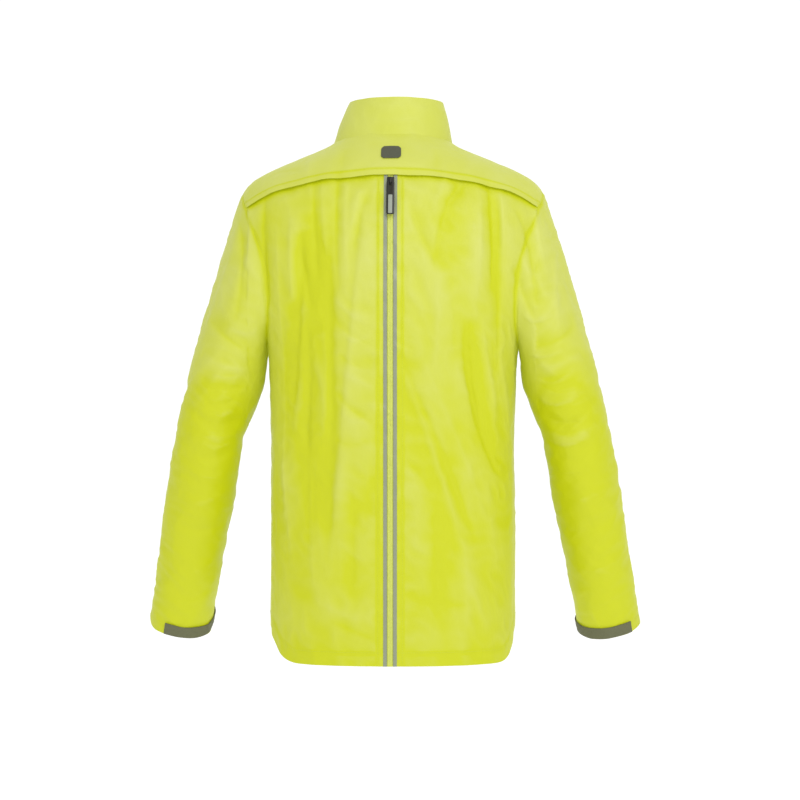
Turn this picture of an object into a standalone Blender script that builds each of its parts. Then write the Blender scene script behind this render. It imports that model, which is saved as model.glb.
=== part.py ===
"""Light rain jacket in hi-vis yellow, filled out as on a standing figure.

Metres, +Z up. X points to the wearer's right and +Y the way the wearer faces, so the back looks along -Y.
The origin is in the middle of the neck, level with the side neck points where the shoulders carry it.

The body is one surface, torso(turn, level). turn goes round it: 0 at the centre back, a quarter turn at a
side, a half turn at the centre front. level is the height that the surface has at its side, from the
neckline down to the hem. Every panel is a grid of points on it, given a wall by Solidify.
"""

import math

import bmesh
import bpy
import numpy as np
from mathutils import Matrix, Vector

CLOTH = 0.0016
SEAM = 0.0003
QUARTER = math.pi / 2

# Body: one row for each ring, from the neckline to the hem. The heights differ at the back, side and front.
RING_COLUMNS = "level half_width back_y side_y front_y back_z front_z squareness".split()
RINGS = (
    (0.003, 0.086, -0.064, 0.004, 0.082, 0.012, -0.066, 2.0),
    (-0.0045, 0.098, -0.077, 0.002, 0.090, -0.003, -0.080, 2.0),
    (-0.013, 0.122, -0.093, 0.000, 0.100, -0.020, -0.098, 2.0),
    (-0.025, 0.151, -0.105, -0.001, 0.108, -0.038, -0.116, 2.0),
    (-0.037, 0.179, -0.113, -0.001, 0.115, -0.056, -0.133, 2.0),
    (-0.050, 0.2025, -0.119, -0.001, 0.121, -0.075, -0.149, 2.05),
    (-0.063, 0.2150, -0.124, 0.000, 0.126, -0.095, -0.165, 2.1),
    (-0.085, 0.2205, -0.129, 0.000, 0.130, -0.122, -0.184, 2.2),
    (-0.140, 0.2140, -0.134, 0.000, 0.135, -0.165, -0.212, 2.3),
    (-0.215, 0.2000, -0.138, 0.001, 0.140, -0.228, -0.256, 2.4),
    (-0.290, 0.1810, -0.139, 0.002, 0.143, -0.298, -0.312, 2.5),
    (-0.380, 0.1765, -0.137, 0.002, 0.142, -0.388, -0.396, 2.5),
    (-0.500, 0.1760, -0.137, 0.002, 0.142, -0.518, -0.520, 2.5),
    (-0.620, 0.1760, -0.139, 0.002, 0.143, -0.652, -0.650, 2.5),
    (-0.690, 0.1760, -0.141, 0.002, 0.144, -0.738, -0.732, 2.5),
)
# The small steps of turn and of level over which the surface's slope is measured.
TURN_STEP, LEVEL_STEP = 0.004, 0.0008
NECK_LEVEL = RINGS[0][0]
HEM_LEVEL = RINGS[-1][0]
SHOULDER_SAG_POWER = 1.4
# The hem's corner on each side: it climbs from level to full height between these cosines of turn.
HEM_CORNERS = {-1: (0.10, 0.68), 1: (0.05, 0.45)}

# Soft folds in the body: the line that each follows, half its width, and its depth (inwards is negative).
FOLD_COLUMNS = "face top_x top_z bottom_x bottom_z half_width depth".split()
BODY_FOLDS = (
    (-1, -0.078, -0.060, -0.080, -0.230, 0.015, -0.0026),
    (-1, -0.116, -0.120, -0.128, -0.270, 0.019, -0.0034),
    (-1, -0.124, -0.270, -0.108, -0.600, 0.024, -0.0026),
    (-1, -0.052, -0.230, -0.062, -0.560, 0.026, 0.0018),
    (-1, 0.148, -0.080, 0.152, -0.260, 0.016, -0.0032),
    (-1, 0.112, -0.250, 0.138, -0.440, 0.020, -0.0030),
    (-1, 0.020, -0.300, 0.126, -0.600, 0.024, -0.0026),
    (1, -0.118, -0.140, -0.130, -0.360, 0.020, -0.0030),
    (1, -0.070, -0.330, -0.090, -0.640, 0.025, -0.0026),
    (1, 0.122, -0.150, 0.136, -0.400, 0.020, -0.0030),
    (1, 0.064, -0.300, 0.084, -0.600, 0.026, -0.0024),
)

# Points across each panel, and how much faster than evenly they spread from the zip towards the side.
BACK_COLUMNS, FRONT_COLUMNS, YOKE_COLUMNS, COLLAR_COLUMNS, TAB_COLUMN_COUNT = 10, 9, 9, 28, 18
COLUMN_SPREAD = 1.12

# Armhole: an oval on the torso, with these reaches towards the back and the front from the side.
ARMHOLE_TOP, ARMHOLE_BOTTOM = -0.067, -0.290
BACK_REACH, FRONT_REACH = math.radians(33), math.radians(30)
# Its points: degrees round the oval from the top, the same on the back and on the front.
ARMHOLE_STEPS = (0, 12, 24, 36, 52, 70, 90, 110, 130, 150, 166, 180)
PANEL_TOP_STEP, FLAP_STEP, SHOULDER_SEAM_STEP = 24, 36, 24

# Yoke: its loose lower edge, as a height at the centre back that falls towards the armholes.
FLAP_Z, FLAP_CURVE, FLAP_DIP, FLAP_DIP_AT = -0.051, 0.676, 0.008, 0.200
FLAP_LIFT, FLAP_HANG = 0.0016, 0.035
PANEL_SINK, PANEL_SINK_FROM, PANEL_SINK_TO = 0.0034, 0.85, 0.98
UNDERLAP = 0.017
# Near the centre back the cloth falls faster than its level: by these factors at the flap and at the patch.
FLAP_FALL, PATCH_FALL = 1.5, 1.9

# Collar: the ring of its top edge.
COLLAR_WIDTH, COLLAR_BACK_Y, COLLAR_SIDE_Y, COLLAR_FRONT_Y = 0.068, -0.050, 0.009, 0.072
COLLAR_BACK_Z, COLLAR_SIDE_Z, COLLAR_FRONT_Z = 0.0665, 0.0640, -0.003
COLLAR_LEAN_X, COLLAR_BULGE = 0.005, 0.002

# Sleeve on the wearer's right: the arm's rings below the shoulder. out and deep are half widths.
SLEEVE_COLUMNS = "x y z out deep".split()
SLEEVE = (
    (0.2420, -0.004, -0.338, 0.0540, 0.0690),
    (0.2520, -0.006, -0.372, 0.0510, 0.0655),
    (0.2625, -0.006, -0.407, 0.0485, 0.0620),
    (0.2690, -0.001, -0.442, 0.0490, 0.0600),
    (0.2780, 0.011, -0.489, 0.0492, 0.0575),
    (0.3000, 0.045, -0.605, 0.0462, 0.0515),
    (0.3175, 0.076, -0.700, 0.0445, 0.0470),
)
# At the armhole: its gap, how far it turns at the underarm and how firmly it starts and ends its curve.
CAP_GAP, UNDERARM_TURN = SEAM * 1.5, math.radians(118)
CAP_START_PULL, UNDERARM_START_PULL, CAP_END_PULL, CAP_LEAVE = 1.0, 0.25, 0.95, 1.4
ARMHOLE_MIDDLE_X = 0.21
AXIS_STEP = 0.004
CAP_ROWS = (0.0, 0.05, 0.13, 0.24, 0.37, 0.50, 0.63, 0.76, 0.88, 1.0)
ARM_ROWS = 15
# Creases across a sleeve: place along the arm (0 to 1), its middle round the arm, reach, width and depth.
CREASE_COLUMNS = "along round_deg reach_deg slant half_width depth".split()
SLEEVE_CREASES = (
    (0.20, 175, 60, 0.03, 0.045, -0.0030),
    (0.33, 200, 80, -0.04, 0.040, -0.0034),
    (0.42, 90, 60, 0.06, 0.050, 0.0020),
    (0.62, 120, 70, 0.05, 0.045, -0.0018),
)

# Centre zips: half the slot between the panels, then each layer's half width, thickness and lift.
SLOT, NEAR_ZIP = 0.0042, 0.0105
TEETH_HALF, TEETH_THICK, TEETH_LIFT = 0.0038, 0.0020, 0.0002
TAPE_THICK = 0.0010
TAPE_LIFT = -(CLOTH + TAPE_THICK) / 2 - SEAM
STRIPE_FROM, STRIPE_TO, STRIPE_THICK = 0.0044, 0.0094, 0.0008
STRIPE_LIFT = (CLOTH + STRIPE_THICK) / 2 + SEAM

# Slider and pull tab, in the slider's own frame: X across, Y out of the cloth, Z up along the zip.
SLIDER_WIDTH, SLIDER_HEIGHT, SLIDER_THICK = 0.0100, 0.0130, 0.0030
BRIDGE_WIDTH, BRIDGE_HEIGHT, BRIDGE_BAR = 0.0024, 0.0100, 0.0014
BRIDGE_GAP = 0.0024
PULL_WIDTH, PULL_LENGTH, PULL_THICK = 0.0112, 0.0505, 0.0016
EYE_WIDTH, EYE_LENGTH, PULL_BAR = 0.0046, 0.0054, 0.0014
INSERT_WIDTH, INSERT_LENGTH, INSERT_THICK = 0.0058, 0.0285, 0.0006
PULL_CORNER, INSERT_CORNER, INSERT_RISE, SLIDER_BEVEL = 0.0025, 0.0008, 0.0008, 0.0006
# From the pull tab's hinge to the bridge's leg: more than the bar's corner needs as it turns.
PULL_CLEARANCE = 0.0013
BACK_SLIDER_RISE = STRIPE_LIFT + STRIPE_THICK / 2 + SEAM
FRONT_SLIDER_RISE = TEETH_LIFT + TEETH_THICK / 2 + SEAM
BACK_SLIDER_Z, FRONT_SLIDER_SHARE = -0.0605, 0.83

PATCH_HALF_WIDTH, PATCH_HEIGHT, PATCH_THICK, PATCH_LEVEL = 0.0140, 0.0190, 0.0008, -0.0125
PATCH_CORNER = 0.004

# Cuff tabs: degrees round the arm from the outside (by way of the back), and heights above the rim.
TAB_COLUMNS = "side free_deg base_deg free_rise base_rise half_width".split()
CUFF_TABS = (
    (-1, 64, 236, 0.0095, 0.0240, 0.0085),
    (1, 48, 236, 0.0095, 0.0110, 0.0085),
)
TAB_THICK = 0.0016

YELLOW, DARK_YELLOW = (0.68, 0.74, 0.10), (0.66, 0.72, 0.09)
TAB_GREY, REFLECTIVE = (0.13, 0.14, 0.08), (0.31, 0.34, 0.24)
BLACK, PALE = (0.035, 0.035, 0.02), (0.37, 0.40, 0.30)


def clear_scene():
    for obj in list(bpy.data.objects):
        bpy.data.objects.remove(obj, do_unlink=True)


def smooth(value, low, high):
    """0 below low, 1 above high, and an S-curve between."""
    share = min(max((value - low) / (high - low), 0.0), 1.0)
    return share * share * (3 - 2 * share)


def read_curve(keys, values, at):
    """A smooth curve through rows of values, one row for each rising key."""
    at = min(max(at, keys[0]), keys[-1])
    slopes = np.gradient(values, keys, axis=0)
    i = min(int(np.searchsorted(keys, at, side="right")) - 1, len(keys) - 2)
    span = keys[i + 1] - keys[i]
    t = (at - keys[i]) / span
    return (
        (1 + 2 * t) * (1 - t) ** 2 * values[i]
        + t * (1 - t) ** 2 * span * slopes[i]
        + t * t * (3 - 2 * t) * values[i + 1]
        + t * t * (t - 1) * span * slopes[i + 1]
    )


RING_KEYS = np.array([-row[0] for row in RINGS])
RING_VALUES = np.array([row[1:] for row in RINGS])


def ring_at(level):
    return dict(zip(RING_COLUMNS[1:], read_curve(RING_KEYS, RING_VALUES, -level)))


def body_fold(x, y, z):
    """How far the folds push the cloth out at this place."""
    push = 0.0
    for row in BODY_FOLDS:
        fold = dict(zip(FOLD_COLUMNS, row))
        if fold["face"] * y < 0:
            continue
        share = (fold["top_z"] - z) / (fold["top_z"] - fold["bottom_z"])
        line_x = fold["top_x"] + (fold["bottom_x"] - fold["top_x"]) * share
        ends = smooth(share, -0.1, 0.25) * (1 - smooth(share, 0.7, 1.1))
        push += fold["depth"] * ends * math.exp(-(((x - line_x) / fold["half_width"]) ** 2))
    return push


def plain_torso(turn, level):
    ring = ring_at(level)
    power = 2 / ring["squareness"]
    sine, cosine = abs(math.sin(turn)), abs(math.cos(turn))
    side = -1 if math.sin(turn) < 0 else 1
    back = math.cos(turn) > 0
    far_y = ring["back_y"] if back else ring["front_y"]
    far_z = ring["back_z"] if back else ring["front_z"]
    climb = cosine**SHOULDER_SAG_POWER
    low, high = HEM_CORNERS[side]
    hem = smooth(-level, 0.45, -HEM_LEVEL)
    climb += (smooth(cosine, low, high) - climb) * hem
    x = side * ring["half_width"] * sine**power
    y = ring["side_y"] + (far_y - ring["side_y"]) * cosine**power
    z = level + (far_z - level) * climb
    return Vector((x, y, z))


def across(surface, turn, level):
    """The unit normal of a surface at a place, pointing out."""
    low = max(level - LEVEL_STEP, HEM_LEVEL)
    high = min(level + LEVEL_STEP, NECK_LEVEL)
    round_it = surface(turn + TURN_STEP, level) - surface(turn - TURN_STEP, level)
    up_it = surface(turn, high) - surface(turn, low)
    return round_it.cross(up_it).normalized()


def torso(turn, level, lift=0.0):
    point = plain_torso(turn, level)
    return point + across(plain_torso, turn, level) * (body_fold(*point) + lift)


def turn_at_x(level, x, front=False):
    """The turn at which a ring is this far to the side, near the centre back or the centre front."""
    ring = ring_at(level)
    angle = math.asin((abs(x) / ring["half_width"]) ** (ring["squareness"] / 2))
    angle = math.pi - angle if front else angle
    return math.copysign(angle, x)


def armhole(step_deg):
    """(turn, level) of a point of the right armhole: 0 at its top, 90 at the back, -90 at the front."""
    angle = math.radians(step_deg)
    reach = BACK_REACH if step_deg > 0 else FRONT_REACH
    middle, half = (ARMHOLE_TOP + ARMHOLE_BOTTOM) / 2, (ARMHOLE_TOP - ARMHOLE_BOTTOM) / 2
    return QUARTER - reach * math.sin(angle), middle + half * math.cos(angle)


SHOULDER_SEAM_TURN = armhole(-SHOULDER_SEAM_STEP)[0]


def level_at_z(turn, height):
    """The level at which the torso has this height, for a height given as a function of x."""
    high, low = NECK_LEVEL, -0.200
    for _ in range(40):
        middle = (high + low) / 2
        point = plain_torso(turn, middle)
        if point.z > height(point.x):
            high = middle
        else:
            low = middle
    return middle


def flap_height(x):
    return FLAP_Z - FLAP_CURVE * x * x - FLAP_DIP * (abs(x) / FLAP_DIP_AT) ** 8


def fitted_level(turn, end_step, raised):
    """The level of a line that follows the flap's edge, raised above it, and ends on an armhole point."""
    end_turn, end_level = armhole(end_step)
    share = min(abs(turn) / end_turn, 1.0)
    miss = end_level - level_at_z(end_turn, flap_height) - raised
    return level_at_z(turn, flap_height) + raised + miss * share**6


def material(name, colour, roughness, metallic=0.0):
    made = bpy.data.materials.get(name) or bpy.data.materials.new(name)
    made.use_nodes = True
    shader = made.node_tree.nodes["Principled BSDF"]
    shader.inputs["Base Color"].default_value = (*colour, 1)
    shader.inputs["Roughness"].default_value = roughness
    shader.inputs["Metallic"].default_value = metallic
    return made


def add_object(name, bm, finish):
    mesh = bpy.data.meshes.new(name)
    bm.to_mesh(mesh)
    bm.free()
    mesh.materials.append(finish)
    mesh.shade_smooth()
    mesh.set_sharp_from_angle(angle=math.radians(40))
    obj = bpy.data.objects.new(name, mesh)
    bpy.context.collection.objects.link(obj)
    return obj


def sheet(name, rows, thickness, finish, tube=False, flip=False):
    """A wall of cloth whose middle surface runs through a grid of points, closed round if it is a tube."""
    bm = bmesh.new()
    grid = [[bm.verts.new(point) for point in row] for row in rows]
    columns = len(grid[0])
    for upper, lower in zip(grid, grid[1:]):
        for i in range(columns if tube else columns - 1):
            j = (i + 1) % columns
            corners = (upper[i], lower[i], lower[j], upper[j])
            bm.faces.new(corners[::-1] if flip else corners)
    obj = add_object(name, bm, finish)
    wall = obj.modifiers.new("Wall", "SOLIDIFY")
    wall.thickness = thickness
    wall.offset = 0
    wall.use_even_offset = True
    return obj


def tucked(rows, edges):
    """Moves the named edges of a grid in by half a seam, towards the next points."""
    rows = [[point.copy() for point in row] for row in rows]
    if "top" in edges:
        rows[0] = [p + (q - p).normalized() * SEAM / 2 for p, q in zip(rows[0], rows[1])]
    if "bottom" in edges:
        rows[-1] = [p + (q - p).normalized() * SEAM / 2 for p, q in zip(rows[-1], rows[-2])]
    for row in rows:
        if "start" in edges:
            row[0] = row[0] + (row[1] - row[0]).normalized() * SEAM / 2
        if "end" in edges:
            row[-1] = row[-1] + (row[-2] - row[-1]).normalized() * SEAM / 2
    return rows


def side_seam_levels():
    return list(np.linspace(ARMHOLE_BOTTOM, HEM_LEVEL, 15)[1:])


def back_edge():
    """(turn, level) down the back panel's outer edge, along the armhole and then the side seam."""
    steps = [step for step in ARMHOLE_STEPS if step >= PANEL_TOP_STEP]
    return [armhole(step) for step in steps] + [(QUARTER, level) for level in side_seam_levels()]


def likeness_to_top(edge_level):
    """1 for the back panel's top row, which curves with the flap, and 0 for the level rows below the arm."""
    return max(0.0, (edge_level - ARMHOLE_BOTTOM) / (armhole(PANEL_TOP_STEP)[1] - ARMHOLE_BOTTOM))


def back_level(turn, edge_turn, edge_level):
    """The level of a back panel's row at this turn, for the row that ends at this place of its edge."""
    top_turn, top_level = armhole(PANEL_TOP_STEP)
    top = fitted_level(turn * top_turn / edge_turn, PANEL_TOP_STEP, UNDERLAP)
    return edge_level + (top - top_level) * likeness_to_top(edge_level)


def near_zip_turn(x, edge_turn, edge_level):
    """The turn at which a back panel's row is this far from the zip's line."""
    turn = 0.0
    for _ in range(3):
        turn = turn_at_x(back_level(abs(turn), edge_turn, edge_level), x)
    return turn


def back_point(turn, edge_turn, edge_level, lift=0.0):
    level = back_level(abs(turn), edge_turn, edge_level)
    sink = PANEL_SINK * smooth(likeness_to_top(edge_level), PANEL_SINK_FROM, PANEL_SINK_TO)
    return torso(turn, level, lift - sink)


def back_panel(side, finish):
    """From the zip to the armhole and side seam, and from the hem to under the flap."""
    rows = []
    for edge_turn, edge_level in back_edge():
        turns = [near_zip_turn(x, edge_turn, edge_level) for x in (SLOT, NEAR_ZIP)]
        reach = edge_turn - turns[-1]
        turns += [turns[-1] + reach * (i / BACK_COLUMNS) ** COLUMN_SPREAD for i in range(1, BACK_COLUMNS + 1)]
        rows.append([back_point(side * turn, edge_turn, edge_level) for turn in turns])
    name = "back_left" if side < 0 else "back_right"
    sheet(name, tucked(rows, ("end",)), CLOTH, finish, flip=side < 0)


SHOULDER_SHARES = (0.0, 0.09, 0.22, 0.38, 0.54, 0.70, 0.85, 1.0)


def front_edge():
    """(turn, level) down the front panel's outer edge: shoulder seam, armhole and side seam."""
    steps = [-step for step in ARMHOLE_STEPS if step > SHOULDER_SEAM_STEP]
    seam_end = armhole(-SHOULDER_SEAM_STEP)[1]
    edge = [(SHOULDER_SEAM_TURN, NECK_LEVEL + (seam_end - NECK_LEVEL) * share) for share in SHOULDER_SHARES]
    return edge + [armhole(step) for step in steps] + [(QUARTER, level) for level in side_seam_levels()]


def front_panel(side, finish):
    """From the centre front zip to the shoulder seam, armhole and side seam."""
    rows = []
    for edge_turn, level in front_edge():
        turns = [turn_at_x(level, x, front=True) for x in (SLOT, NEAR_ZIP)]
        reach = edge_turn - turns[-1]
        shares = [i / FRONT_COLUMNS for i in range(1, FRONT_COLUMNS + 1)]
        turns += [turns[-1] + reach * share**COLUMN_SPREAD for share in shares]
        rows.append([torso(side * turn, level) for turn in turns])
    name = "front_left" if side < 0 else "front_right"
    sheet(name, tucked(rows, ("top", "end")), CLOTH, finish, flip=side > 0)


def flap_lift(level, edge_level):
    above = (level - edge_level) * FLAP_FALL
    return FLAP_LIFT * (1 - smooth(above, 0, FLAP_HANG))


def yoke(finish):
    """Over both shoulders, from the neckline to the front shoulder seams, the armholes and the flap."""
    steps = [step for step in ARMHOLE_STEPS if step <= FLAP_STEP]
    steps = [-step for step in steps[:0:-1] if step <= SHOULDER_SEAM_STEP] + steps
    right = [armhole(step) for step in steps]
    inner = [right[-1][0] * (1 - i / YOKE_COLUMNS) for i in range(1, YOKE_COLUMNS + 1)]
    right += [(turn, fitted_level(turn, FLAP_STEP, 0.0)) for turn in inner]
    outline = [(-turn, level) for turn, level in right[:-1]] + right[::-1]
    rows = []
    for share in SHOULDER_SHARES:
        row = []
        for turn, end_level in outline:
            level = NECK_LEVEL + (end_level - NECK_LEVEL) * share
            flap = fitted_level(turn, FLAP_STEP, 0.0)
            loose = 1 - smooth(abs(turn), armhole(FLAP_STEP)[0], QUARTER)
            row.append(torso(turn, level, loose * flap_lift(level, flap)))
        rows.append(row)
    sheet("yoke", tucked(rows, ("top", "start", "end")), CLOTH, finish)


def collar_point(turn, share, lift=0.0):
    """share is 0 at the neck seam and 1 at the top edge."""
    edge = plain_torso(turn, NECK_LEVEL)
    inwards = (edge - plain_torso(turn, NECK_LEVEL - 2 * LEVEL_STEP)).normalized()
    base = edge + inwards * (CLOTH + SEAM) / 2
    sine, cosine = math.sin(turn), math.cos(turn)
    far_y, far_z = (COLLAR_BACK_Y, COLLAR_BACK_Z) if cosine > 0 else (COLLAR_FRONT_Y, COLLAR_FRONT_Z)
    drop = abs(cosine) ** 1.6
    top = Vector((
        COLLAR_LEAN_X + COLLAR_WIDTH * sine,
        COLLAR_SIDE_Y + (far_y - COLLAR_SIDE_Y) * abs(cosine),
        COLLAR_SIDE_Z + (far_z - COLLAR_SIDE_Z) * drop,
    ))
    out = Vector((sine, -cosine, 0.15)).normalized()
    return base.lerp(top, share) + out * (COLLAR_BULGE * math.sin(math.pi * share) + lift)


def collar_turn_at_x(x, share):
    """The turn near the centre front at which the collar is this far from the zip's line."""
    half_width = RINGS[0][1] + (COLLAR_WIDTH - RINGS[0][1]) * share
    return math.copysign(math.pi - math.asin(abs(x) / half_width), x)


COLLAR_SHARES = (1.0, 0.8, 0.6, 0.4, 0.2, 0.0)


def collar(finish):
    rows = []
    for share in COLLAR_SHARES:
        ends = [collar_turn_at_x(x, share) for x in (SLOT, NEAR_ZIP)]
        inner = [ends[1] * (2 * i / COLLAR_COLUMNS - 1) for i in range(COLLAR_COLUMNS + 1)]
        turns = [-ends[0], *inner, ends[0]]
        rows.append([collar_point(turn, share) for turn in turns])
    sheet("collar", rows, CLOTH, finish)


def mirrored(point, side):
    return Vector((point.x * side, point.y, point.z))


SLEEVE_KEYS = np.array([-row[2] for row in SLEEVE])
SLEEVE_VALUES = np.array(SLEEVE)


def arm_ring(along):
    """Centre, axes and half widths of the right arm's ring, from 0 at the biceps to 1 at the rim."""
    key = SLEEVE_KEYS[0] + (SLEEVE_KEYS[-1] - SLEEVE_KEYS[0]) * along
    ring = dict(zip(SLEEVE_COLUMNS, read_curve(SLEEVE_KEYS, SLEEVE_VALUES, key)))
    ahead = read_curve(SLEEVE_KEYS, SLEEVE_VALUES, key + AXIS_STEP)
    behind = read_curve(SLEEVE_KEYS, SLEEVE_VALUES, key - AXIS_STEP)
    axis = Vector(ahead[:3] - behind[:3]).normalized()
    outward = (Vector((1, 0, 0)) - axis * axis.x).normalized()
    return Vector((ring["x"], ring["y"], ring["z"])), axis, outward, outward.cross(axis), ring


def arm_crease(along, round_deg):
    push = 0.0
    for row in SLEEVE_CREASES:
        crease = dict(zip(CREASE_COLUMNS, row))
        off = (round_deg - crease["round_deg"] + 180) % 360 - 180
        line = crease["along"] + crease["slant"] * off / crease["reach_deg"]
        reach = max(0.0, math.cos(min(abs(off) / crease["reach_deg"], 1.0) * QUARTER))
        push += crease["depth"] * reach * math.exp(-(((along - line) / crease["half_width"]) ** 2))
    return push


def arm_point(along, round_deg, lift=0.0):
    centre, _, outward, forward, ring = arm_ring(along)
    angle = math.radians(round_deg)
    spoke = outward * ring["out"] * math.cos(angle) - forward * ring["deep"] * math.sin(angle)
    normal = outward * math.cos(angle) / ring["out"] - forward * math.sin(angle) / ring["deep"]
    return centre + spoke + normal.normalized() * (arm_crease(along, round_deg) + lift)


def cap_point(share, step_deg):
    """The head of the right sleeve: a curve from an armhole point, 0, to the biceps ring, 1."""
    turn, level = armhole(step_deg)
    seam = torso(turn, level)
    normal = across(plain_torso, turn, level)
    before, after = armhole(step_deg + 2), armhole(step_deg - 2)
    along_seam = (plain_torso(*after) - plain_torso(*before)).normalized()
    into_hole = along_seam.cross(normal)
    hub = Vector((ARMHOLE_MIDDLE_X, 0.0, (ARMHOLE_TOP + ARMHOLE_BOTTOM) / 2))
    if into_hole.dot(hub - seam) < 0:
        into_hole = -into_hole
    low_side = (1 - math.cos(math.radians(step_deg))) / 2
    bend = UNDERARM_TURN * low_side
    start = seam + into_hole * (CAP_GAP + CLOTH / 2 * math.sin(bend))
    start += normal * (CLOTH + SEAM) * max(0.0, -math.cos(bend))
    downwards = (plain_torso(turn, level - 2 * LEVEL_STEP) - plain_torso(turn, level)).normalized()
    leave = downwards.lerp(into_hole, min(1.0, CAP_LEAVE * low_side)).normalized() * math.cos(bend)
    leave += normal * math.sin(bend)
    end = arm_point(0.0, step_deg)
    axis = arm_ring(0.0)[1]
    reach = (end - start).length
    pull_start = reach * (CAP_START_PULL + (UNDERARM_START_PULL - CAP_START_PULL) * low_side**2)
    t = share
    return (
        start * ((1 + 2 * t) * (1 - t) ** 2)
        + leave * (t * (1 - t) ** 2 * pull_start)
        + end * (t * t * (3 - 2 * t))
        + axis * (t * t * (t - 1) * reach * CAP_END_PULL)
    )


def sleeve(side, finish):
    steps = list(ARMHOLE_STEPS) + [-step for step in ARMHOLE_STEPS[-2:0:-1]]
    rows = [[cap_point(share, step) for step in steps] for share in CAP_ROWS]
    rows += [[arm_point(i / ARM_ROWS, step) for step in steps] for i in range(1, ARM_ROWS + 1)]
    rows = [[mirrored(point, side) for point in row] for row in rows]
    name = "sleeve_left" if side < 0 else "sleeve_right"
    sheet(name, rows, CLOTH, finish, tube=True, flip=side > 0)


def cuff_tab(tab, finish):
    """A strap round the back and the inner side of a cuff, lying on the sleeve."""
    arm_length = (arm_ring(1.0)[0] - arm_ring(0.9)[0]).length / 0.1
    lift = (CLOTH + TAB_THICK) / 2 + SEAM
    rows = []
    for across_share in (1.0, 0.33, -0.33, -1.0):
        row = []
        for i in range(TAB_COLUMN_COUNT):
            share = i / (TAB_COLUMN_COUNT - 1)
            round_deg = tab["free_deg"] + (tab["base_deg"] - tab["free_deg"]) * share
            rise = tab["free_rise"] + (tab["base_rise"] - tab["free_rise"]) * smooth(share, 0.45, 0.85)
            rise += tab["half_width"] * across_share
            row.append(mirrored(arm_point(1 - rise / arm_length, round_deg, lift), tab["side"]))
        rows.append(row)
    name = "cuff_tab_left" if tab["side"] < 0 else "cuff_tab_right"
    sheet(name, rows, TAB_THICK, finish, flip=tab["side"] > 0)


def back_strip(name, sides, thickness, lift, finish):
    """A narrow strip down the centre back, through these distances from the zip's line."""
    rows = []
    for edge_turn, edge_level in back_edge()[1:]:
        turns = [near_zip_turn(x, edge_turn, edge_level) for x in sides]
        rows.append([back_point(turn, edge_turn, edge_level, lift) for turn in turns])
    sheet(name, rows, thickness, finish)


def front_strip(name, sides, thickness, lift, finish):
    """A narrow strip up the centre front, from the hem to the top of the collar."""
    rows = []
    for share in (0.985, *COLLAR_SHARES[1:-1]):
        rows.append([collar_point(collar_turn_at_x(x, share), share, lift) for x in sides])
    for i, (_, level) in enumerate(front_edge()):
        row = [torso(turn_at_x(level, x, front=True), level, lift) for x in sides]
        if i == 0:
            foot = [collar_point(collar_turn_at_x(x, 0.0), 0.0, lift + min(lift, 0.0)) for x in sides]
            row = [(p + q) / 2 for p, q in zip(row, foot)]
        rows.append(row)
    sheet(name, rows, thickness, finish)


def patch(finish):
    """A plain patch with rounded corners, below the neck seam at the centre back."""
    rows = []
    for i in range(9):
        down = i / 8 - 0.5
        level = PATCH_LEVEL + down * PATCH_HEIGHT / PATCH_FALL
        over = max(0.0, abs(down) * PATCH_HEIGHT - (PATCH_HEIGHT / 2 - PATCH_CORNER)) / PATCH_CORNER
        half = PATCH_HALF_WIDTH - PATCH_CORNER * (1 - math.sqrt(max(0.0, 1 - over * over)))
        sides = [half * share for share in (-1.0, -0.6, -0.2, 0.2, 0.6, 1.0)]
        lift = (CLOTH + PATCH_THICK) / 2 + 2 * SEAM + flap_lift(level, fitted_level(0.0, FLAP_STEP, 0.0))
        rows.append([torso(turn_at_x(level, x), level, lift) for x in sides])
    sheet("yoke_patch", rows, PATCH_THICK, finish)


def box(bm, low, high):
    """A box between two corners."""
    made = bmesh.ops.create_cube(bm, size=1.0)["verts"]
    for vert in made:
        vert.co = Vector([low[i] + (high[i] - low[i]) * (vert.co[i] + 0.5) for i in range(3)])


def helper(name, bm):
    obj = add_object(name, bm, material("helper", (0.5, 0.5, 0.5), 0.5))
    obj.hide_render = True
    obj.display_type = "WIRE"
    return obj


def combine(obj, other, operation):
    boolean = obj.modifiers.new(operation.title(), "BOOLEAN")
    boolean.operation = operation
    boolean.object = other


def rounded_plate(bm, half_width, top, bottom, inner_y, outer_y, corner):
    """A flat plate in the XZ plane with round corners."""
    outline = []
    for sign_x, sign_z, first in ((1, 1, 0), (-1, 1, 1), (-1, -1, 2), (1, -1, 3)):
        centre_x = sign_x * (half_width - corner)
        centre_z = top - corner if sign_z > 0 else bottom + corner
        for i in range(4):
            angle = (first + i / 3) * QUARTER
            outline.append((centre_x + corner * math.cos(angle), centre_z + corner * math.sin(angle)))
    face = bm.faces.new([bm.verts.new((x, inner_y, z)) for x, z in outline])
    grown = bmesh.ops.extrude_face_region(bm, geom=[face])["geom"]
    for item in grown:
        if isinstance(item, bmesh.types.BMVert):
            item.co.y = outer_y
    bmesh.ops.recalc_face_normals(bm, faces=bm.faces)


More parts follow.
